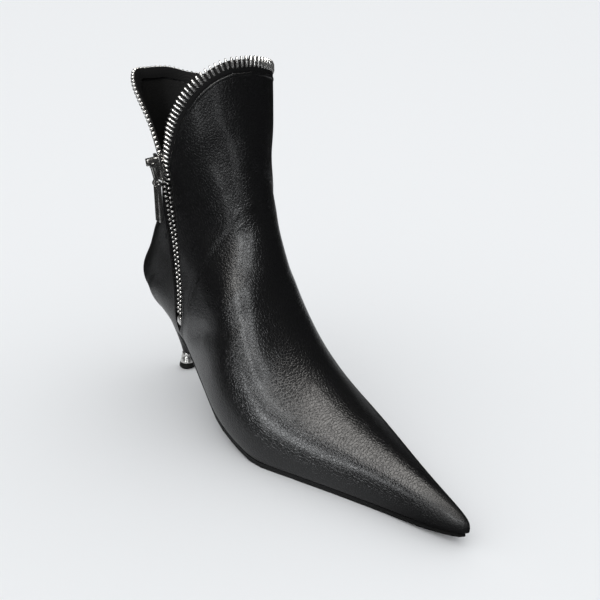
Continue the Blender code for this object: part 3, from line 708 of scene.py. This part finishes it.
def press_creases(piece):
    """Presses the creases into the outer skin as soft troughs and ridges."""
    mesh = piece.data
    points = np.empty(len(mesh.vertices) * 3)
    normals = np.empty(len(mesh.vertices) * 3)
    mesh.vertices.foreach_get("co", points)
    mesh.vertices.foreach_get("normal", normals)
    points = points.reshape(-1, 3)
    normals = normals.reshape(-1, 3)
    sunk = np.zeros(len(points))
    for crease in CREASES:
        away, along = distance_to_path(points / MM, crease.path)
        kept = ease(np.minimum(along, 1.0 - along), 0.0, CREASE_FADE)
        sunk += crease.depth * kept * np.exp(-((away / crease.half) ** 2))
    points -= normals * (sunk * skin_points(piece) * MM)[:, None]
    mesh.vertices.foreach_set("co", points.ravel())
    mesh.update()


def draw_taut(rounds):
    """Smooths the selected points, swelling them again after each round so that they keep their size."""
    for _ in range(rounds):
        bpy.ops.mesh.vertices_smooth(factor=EASE_IN)
        bpy.ops.mesh.vertices_smooth(factor=EASE_OUT)


def ease_skin(piece):
    """Draws the outer skin taut, without its rims, and most of all at the bend of the ankle."""
    edit(piece)
    piece.active_material_index = LEATHER_SLOT
    bpy.ops.object.material_slot_select()
    bpy.ops.mesh.select_less()
    bpy.ops.mesh.vertices_smooth(factor=EASE_IN, repeat=SKIN_EASE_ROUNDS)
    draw_taut(SKIN_TAUT_ROUNDS)
    bm = bmesh.from_edit_mesh(piece.data)
    bend = Vector(BEND_MIDDLE) * MM
    for face in bm.faces:
        if (face.calc_center_median() - bend).length > BEND_REACH * MM:
            face.select = False
    bmesh.update_edit_mesh(piece.data)
    draw_taut(BEND_TAUT_ROUNDS)
    close_edit(piece)


def make_boot_leather():
    piece = welded_copy("upper", "boot_leather")
    mark_skins(piece)
    subdivide_smooth(piece, levels=1)
    ease_skin(piece)
    subdivide_smooth(piece, levels=1)
    press_creases(piece)
    shade(piece, LEATHER_SHADE)
    dress(piece, None, "boot", "upper_leather", "upper")
    return piece


def outer_skin_tree(piece):
    """The leather's outer skin, ready to be searched for its nearest point."""
    mesh = piece.data
    faces = [face.vertices[:] for face in mesh.polygons if face.material_index == LEATHER_SLOT]
    return BVHTree.FromPolygons([vert.co for vert in mesh.vertices], faces)


# Sole, insole and heel


def make_outsole():
    """Thin sole, set back under the leather, with a groove along its sides."""
    piece = welded_copy("outsole", "boot_outsole")
    bm = edit(piece)
    for face in bm.faces:
        face.select = abs(face.normal.z) < SOLE_SIDE_LEAN and abs(face.normal.y) > SOLE_SIDE_FACING
    bmesh.update_edit_mesh(piece.data)
    bpy.ops.transform.shrink_fatten(value=-SOLE_SET_BACK * MM)
    bm = bmesh.from_edit_mesh(piece.data)
    for vert in bm.verts:
        vert.co.x -= SOLE_TIP_BACK * MM * ease(vert.co.x / MM, *SOLE_TIP_RANGE)
    bmesh.update_edit_mesh(piece.data)
    bpy.ops.mesh.inset(thickness=SOLE_GROOVE_MARGIN * MM, depth=-SOLE_GROOVE_DEPTH * MM)
    close_edit(piece)
    round_edges(piece, SOLE_ROUNDING)
    shade(piece)
    dress(piece, SOLE, "boot", "sole_black", "outsole")


def make_insole():
    piece = welded_copy("insole", "boot_insole")
    round_edges(piece, INSOLE_ROUNDING)
    shade(piece)
    dress(piece, LINING, "boot", "lining_leather", "insole")


def make_heel():
    piece = welded_copy("heel", "covered_heel")
    edit(piece, "EDGE")
    bpy.ops.mesh.edges_select_sharp(sharpness=math.radians(HEEL_RIM_ANGLE))
    bpy.ops.transform.edge_crease(value=HEEL_RIM_CREASE)
    close_edit(piece)
    subdivide_smooth(piece, levels=2)
    shade(piece, HEEL_SHADE)
    dress(piece, HEEL_LEATHER, "boot", "upper_leather", "heel")


def turned(name, profile):
    """A round piece on the stem's axis, spun from points of radius and height."""
    mesh = bpy.data.meshes.new(name)
    piece = bpy.data.objects.new(name, mesh)
    bpy.context.scene.collection.objects.link(piece)
    points = [((STEM_X + radius) * MM, STEM_Y * MM, z * MM) for radius, z in profile]
    mesh.from_pydata(points, [(k, k + 1) for k in range(len(points) - 1)], [])
    edit(piece, "VERT")
    bpy.ops.mesh.select_all(action="SELECT")
    bpy.ops.mesh.spin(
        steps=SPIN_STEPS,
        angle=math.tau,
        center=(STEM_X * MM, STEM_Y * MM, 0.0),
        axis=(0.0, 0.0, 1.0),
    )
    bpy.ops.mesh.select_all(action="SELECT")
    bpy.ops.mesh.remove_doubles(threshold=SPIN_WELD_GAP * MM)
    bpy.ops.mesh.normals_make_consistent(inside=False)
    bpy.ops.object.mode_set(mode="OBJECT")
    return piece


def make_heel_tip():
    """The top lift, and the turned ferrule above it with short slots cut round it."""
    lift = turned("heel_top_lift", LIFT_PROFILE)
    shade(lift)
    dress(lift, LIFT_RUBBER, "boot", "sole_black", "top_lift")
    ferrule = turned("heel_ferrule_ring", FERRULE_PROFILE)
    bm = edit(ferrule)
    for face in bm.faces:
        middle = face.calc_center_median() / MM
        turn = math.atan2(middle.y - STEM_Y, middle.x - STEM_X) / math.tau * SPIN_STEPS
        in_slot = int(turn % SLOT_SPACING) < SLOT_STEPS
        upright = abs(face.normal.z) < SLOT_FACE_LEAN
        face.select = SLOT_LOW < middle.z < SLOT_HIGH and upright and in_slot
    bmesh.update_edit_mesh(ferrule.data)
    bpy.ops.mesh.inset(thickness=SLOT_MARGIN * MM, depth=0.0)
    bpy.ops.mesh.inset(thickness=SLOT_TAPER * MM, depth=-SLOT_DEPTH * MM)
    close_edit(ferrule)
    shade(ferrule)
    dress(ferrule, SATIN_SILVER, "boot", "silver_metal", "heel_ferrule")


# Zip


class Rail:
    """A zip bar as four long edges, read at any distance along it.

    The edges are in order: leather side outside, leather side inside, far side inside and
    far side outside.
    """

    def __init__(self, node, leather_ahead):
        guide = welded_copy(node, node + "_guide")
        bm = bmesh.new()
        bm.from_mesh(guide.data)
        ring = self.first_ring(bm, leather_ahead)
        seen = set()
        rings = []
        while ring:
            rings.append([vert.co.copy() for vert in ring])
            seen.update(ring)
            ring = self.next_ring(ring, seen)
        bm.free()
        bpy.data.objects.remove(guide, do_unlink=True)
        self.corners = np.array(rings)
        middle = self.corners.mean(axis=1)
        steps = np.linalg.norm(np.diff(middle, axis=0), axis=1)
        self.reach = np.concatenate([[0.0], np.cumsum(steps)])
        self.slopes = np.gradient(self.corners, self.reach, axis=0)
        self.length = float(self.reach[-1])

    @staticmethod
    def first_ring(bm, leather_ahead):
        """The four corners at the foot of the zip."""
        ends = [vert for vert in bm.verts if len(vert.link_edges) == 3]
        low = sorted(ends, key=lambda vert: vert.co.z)[:4]
        low.sort(key=lambda vert: vert.co.x, reverse=leather_ahead)
        near = sorted(low[:2], key=lambda vert: vert.co.y)
        far = sorted(low[2:], key=lambda vert: vert.co.y)
        return [near[0], near[1], far[1], far[0]]

    @staticmethod
    def next_ring(ring, seen):
        ahead = []
        for vert in ring:
            others = [edge.other_vert(vert) for edge in vert.link_edges]
            fresh = [other for other in others if other not in seen]
            if not fresh:
                return []
            ahead.append(min(fresh, key=lambda other: (other.co - vert.co).length))
        return ahead

    def at(self, distance):
        """The four corners at a distance along the bar."""
        last = len(self.reach) - 2
        k = int(np.clip(np.searchsorted(self.reach, distance) - 1, 0, last))
        step = self.reach[k + 1] - self.reach[k]
        t = float(np.clip((distance - self.reach[k]) / step, 0.0, 1.0))
        low, high = self.corners[k], self.corners[k + 1]
        rise = (high - low) * t * t * (3 - 2 * t)
        bend = self.slopes[k] * t * (1 - t) ** 2 - self.slopes[k + 1] * t * t * (1 - t)
        return [Vector(p) for p in low + rise + bend * step]

    def level(self, z):
        """The distance along the bar at which it reaches a height."""
        heights = self.corners.mean(axis=1)[:, 2]
        top = int(np.argmax(heights > z + LEVEL_SEARCH * MM)) or len(heights)
        return float(np.interp(z, heights[:top], self.reach[:top]))


def make_tooth():
    """One tooth along +Y from its foot at the origin, a bar with all its edges well rounded."""
    bpy.ops.object.select_all(action="DESELECT")
    bpy.ops.mesh.primitive_cube_add(size=TOOTH_BLANK)
    tooth = bpy.context.object
    tooth.name = "tooth_pattern"
    edit(tooth)
    bpy.ops.mesh.select_all(action="SELECT")
    bpy.ops.transform.translate(value=(0.0, TOOTH_BLANK / 2, 0.0))
    bpy.ops.mesh.bevel(offset=TOOTH_ROUND, segments=1, affect="EDGES")
    close_edit(tooth)
    return tooth


def tooth_places(rail, phase):
    """Distances along a row: even steps of height where the zip is closed, and of length above."""
    z = rail.corners[0].mean(axis=0)[2] + (FIRST_TOOTH + phase * CHAIN_RISE) * MM
    places = []
    while z < CHAIN_TO_Z * MM:
        places.append(rail.level(z))
        z += CHAIN_RISE * MM
    while places[-1] + PITCH * MM < rail.length - ROW_END * MM:
        places.append(places[-1] + PITCH * MM)
    return places


def make_teeth(name, node, leather_ahead, phase, open_foot, reach):
    """A row of single teeth along the tape, joined into one piece."""
    rail = Rail(node, leather_ahead)
    tooth = make_tooth()
    copies = []
    for distance in tooth_places(rail, phase):
        near_out, near_in, far_in, far_out = rail.at(distance)
        foot = (near_out + near_in) / 2
        tip = (far_out + far_in) / 2
        foot = foot.lerp(tip, CHAIN_FOOT if tip.z < CHAIN_TO_Z * MM else open_foot)
        across = tip - foot
        out = (near_out - near_in + far_out - far_in).normalized()
        along = across.cross(out).normalized()
        out = along.cross(across).normalized()
        columns = (along * TOOTH_WIDTH * MM, across * reach, out * TOOTH_THICK * MM)
        matrix = Matrix(columns).transposed().to_4x4()
        matrix.translation = foot
        copy = bpy.data.objects.new(name, tooth.data.copy())
        copy.data.transform(matrix)
        bpy.context.scene.collection.objects.link(copy)
        copies.append(copy)
    bpy.data.objects.remove(tooth, do_unlink=True)
    bpy.ops.object.select_all(action="DESELECT")
    for copy in copies:
        copy.select_set(True)
    bpy.context.view_layer.objects.active = copies[0]
    bpy.ops.object.join()
    row = bpy.context.object
    row.name = name
    shade(row, ROUND_SHADE)
    dress(row, TOOTH_SILVER, "boot", "silver_metal", node)


def swept(name, rings):
    """A closed strip through rings of points."""
    mesh = bpy.data.meshes.new(name)
    piece = bpy.data.objects.new(name, mesh)
    bpy.context.scene.collection.objects.link(piece)
    bm = bmesh.new()
    loops = [[bm.verts.new(point) for point in ring] for ring in rings]
    for low, high in zip(loops, loops[1:]):
        for k in range(len(low)):
            bm.faces.new([low[k - 1], low[k], high[k], high[k - 1]])
    bm.faces.new(loops[0])
    bm.faces.new(loops[-1])
    bmesh.ops.recalc_face_normals(bm, faces=bm.faces)
    bm.to_mesh(mesh)
    bm.free()
    return piece


def make_tape(name, node, leather_ahead):
    """Woven tape from the leather's edge to under the teeth."""
    rail = Rail(node, leather_ahead)
    rings = []
    steps = int(rail.length / MM / TAPE_STEP)
    for k in range(steps + 1):
        near_out, near_in, far_in, far_out = rail.at(rail.length * k / steps)
        across = (far_out - near_out).normalized()
        out = (near_out - near_in).normalized()
        ring = [
            near_out - across * TAPE_TUCK * MM,
            near_in - across * TAPE_TUCK * MM - out * TAPE_BEHIND * MM,
            far_in + across * TAPE_UNDER * MM - out * TAPE_BEHIND * MM,
            far_out + across * TAPE_UNDER * MM - out * TAPE_BEHIND * MM,
            far_out,
        ]
        rings.append(ring)
    piece = swept(name, rings)
    round_edges(piece, TAPE_ROUNDING)
    shade(piece)
    dress(piece, TAPE, "boot", "zip_tape", node)


def make_folded_edge(name, node, leather_ahead, skin):
    """The leather's folded edge, a rounded band along the tape."""
    rail = Rail(node, leather_ahead)
    steps = int(rail.length / MM / FOLD_STEP)
    rings = []
    for k in range(steps + 1):
        near_out, near_in, _, far_out = rail.at(rail.length * k / steps)
        across = (far_out - near_out).normalized() * MM
        out = (near_out - near_in).normalized() * MM
        start = near_out + out * EDGE_ABOVE - across * EDGE_BEHIND
        normal = skin.find_nearest(start - across * FOLD_MIDDLE)[1] * MM
        ring = []
        for inward, height in FOLD_PROFILE:
            kept = max(inward, FOLD_SAFE)
            on_skin = skin.find_nearest(start - across * kept)[0]
            ring.append(on_skin + across * (kept - inward) + normal * height)
        rings.append(ring)
    piece = swept(name, rings)
    shade(piece, ROUND_SHADE)
    dress(piece, UPPER_LEATHER, "boot", "upper_leather")


def bevelled_metal(node, name, body, rounding, finish):
    """A hard piece with its edges eased."""
    piece = welded_copy(node, name)
    edit(piece)
    bpy.ops.mesh.select_all(action="SELECT")
    bpy.ops.mesh.dissolve_limited(angle_limit=math.radians(FLAT_ANGLE))
    bpy.ops.object.mode_set(mode="OBJECT")
    round_edges(piece, rounding)
    shade(piece)
    dress(piece, finish, body, "silver_metal", node)


# Stage, light and camera


def squared_away(tree, value, middle, half):
    """How far a value lies from a middle, in half sizes and squared."""
    away = math_node(tree, "SUBTRACT", value, middle * MM)
    return math_node(tree, "POWER", math_node(tree, "DIVIDE", away, half * MM), 2.0)


def oval_patch(tree, split, patch):
    """A soft oval on the floor: 1 in its middle and 0 outside."""
    along = squared_away(tree, split.outputs["X"], patch.x, patch.half_x)
    aside = squared_away(tree, split.outputs["Y"], patch.y, patch.half_y)
    return soft_step(tree, math_node(tree, "ADD", along, aside), patch.start, patch.full)


def painted_reflection_behind(tree, split):
    """The painted reflection patch of the floor on the boot's inner side, from its middle backward."""
    beyond = soft_place(tree, split.outputs["Y"], *BEHIND_FROM_Y)
    within = soft_place(tree, split.outputs["Y"], *BEHIND_TO_Y)
    backward = soft_place(tree, split.outputs["X"], *BEHIND_FROM_X)
    return math_node(tree, "MULTIPLY", math_node(tree, "MULTIPLY", beyond, within), backward)


def make_floor():
    """Pale floor. In reflections its colour is painted: painted reflection in a few bright patches and
    painted shade elsewhere.
    """
    bpy.ops.object.select_all(action="DESELECT")
    bpy.ops.mesh.primitive_plane_add(size=FLOOR_SIZE * MM, location=(0.0, 0.0, 0.0))
    floor = bpy.context.object
    floor.name = "studio_floor"
    made, tree, shader = new_material("pale_floor", FLOOR_COLOUR)
    shader.inputs["Roughness"].default_value = FLOOR_ROUGHNESS
    shader.inputs["Specular IOR Level"].default_value = 0.1
    split = tree.nodes.new("ShaderNodeSeparateXYZ")
    tree.links.new(object_coordinates(tree), split.inputs["Vector"])
    bright = painted_reflection_behind(tree, split)
    for patch in PAINTED_REFLECTION_PATCHES:
        bright = math_node(tree, "MAXIMUM", bright, oval_patch(tree, split, patch))
    # Painted reflection: reflected rays see the bright patches, and the painted shade everywhere else
    painted_reflection = math_node(tree, "MULTIPLY", bright, FLOOR_PAINTED_REFLECTION_LEVEL)
    path = tree.nodes.new("ShaderNodeLightPath")
    plain = math_node(tree, "SUBTRACT", 1.0, path.outputs["Is Glossy Ray"])
    shown = math_node(tree, "MAXIMUM", plain, painted_reflection)
    mix = tree.nodes.new("ShaderNodeMix")
    mix.data_type = "RGBA"
    mix.inputs["A"].default_value = FLOOR_PAINTED_SHADE
    mix.inputs["B"].default_value = FLOOR_COLOUR
    tree.links.new(shown, mix.inputs["Factor"])
    tree.links.new(mix.outputs["Result"], shader.inputs["Base Color"])
    floor.data.materials.append(made)


def aim(spot, target):
    return (target - spot).to_track_quat("-Z", "Y").to_euler()


def direction(azimuth, elevation):
    a, e = math.radians(azimuth), math.radians(elevation)
    return Vector((math.sin(a) * math.cos(e), -math.cos(a) * math.cos(e), math.sin(e)))


def make_softbox(box):
    """A light that shows only in reflections, aimed at its target."""
    target = Vector(box.target) * MM
    spot = target + direction(box.azimuth, box.elevation) * box.distance * MM
    bpy.ops.object.select_all(action="DESELECT")
    bpy.ops.object.light_add(type="AREA", location=spot, rotation=aim(spot, target))
    light = bpy.context.object
    light.name = box.name
    light.data.shape = "RECTANGLE"
    light.data.size = box.width * MM
    light.data.size_y = box.height * MM
    light.data.energy = box.brightness * math.pi * light.data.size * light.data.size_y
    light.data.color = box.colour
    light.data.spread = math.radians(box.spread)
    light.visible_camera = False
    light.visible_diffuse = False


def make_light():
    for box in SOFTBOXES:
        make_softbox(box)
    world = bpy.data.worlds.new("studio")
    bpy.context.scene.world = world
    world.use_nodes = True
    tree = world.node_tree
    background = tree.nodes["Background"]
    background.inputs["Color"].default_value = STUDIO_COLOUR
    path = tree.nodes.new("ShaderNodeLightPath")
    strength = remap(tree, path.outputs["Is Glossy Ray"], WORLD_STRENGTH, WORLD_IN_MIRROR)
    tree.links.new(strength, background.inputs["Strength"])


def make_camera():
    target = Vector(CAMERA_TARGET) * MM
    spot = target + direction(CAMERA_AZIMUTH, CAMERA_ELEVATION) * CAMERA_DISTANCE * MM
    bpy.ops.object.select_all(action="DESELECT")
    bpy.ops.object.camera_add(location=spot, rotation=aim(spot, target))
    camera = bpy.context.object
    camera.data.lens = CAMERA_LENS
    camera.data.sensor_width = CAMERA_SENSOR
    camera.data.clip_start = CAMERA_CLIP * MM
    bpy.context.scene.camera = camera
    bpy.context.scene.view_settings.view_transform = "Standard"


make_camera()
leather = make_boot_leather()
make_outsole()
make_insole()
make_heel()
make_heel_tip()
skin_tree = outer_skin_tree(leather)
make_folded_edge("folded_edge_front", "zip_tape_front", True, skin_tree)
make_folded_edge("folded_edge_rear", "zip_tape_rear", False, skin_tree)
make_tape("zip_tape_woven_front", "zip_tape_front", True)
make_tape("zip_tape_woven_rear", "zip_tape_rear", False)
make_teeth("zip_teeth_row_front", "zip_teeth_front", True, FRONT_PHASE, FRONT_FOOT, FRONT_REACH)
make_teeth("zip_teeth_row_rear", "zip_teeth_rear", False, REAR_PHASE, REAR_FOOT, REAR_REACH)
bevelled_metal("zip_stop", "zip_bottom_stop", "boot", STOP_ROUNDING, TOOTH_SILVER)
bevelled_metal("zip_slider", "zip_slider_body", "boot", SLIDER_ROUNDING, BRIGHT_SILVER)
bevelled_metal("pull_link", "zip_pull_link", "pull_link", LINK_ROUNDING, BRIGHT_SILVER)
bevelled_metal("pull_tab", "zip_pull_tab", "pull_tab", TAB_ROUNDING, BRIGHT_SILVER)
make_floor()
make_light()
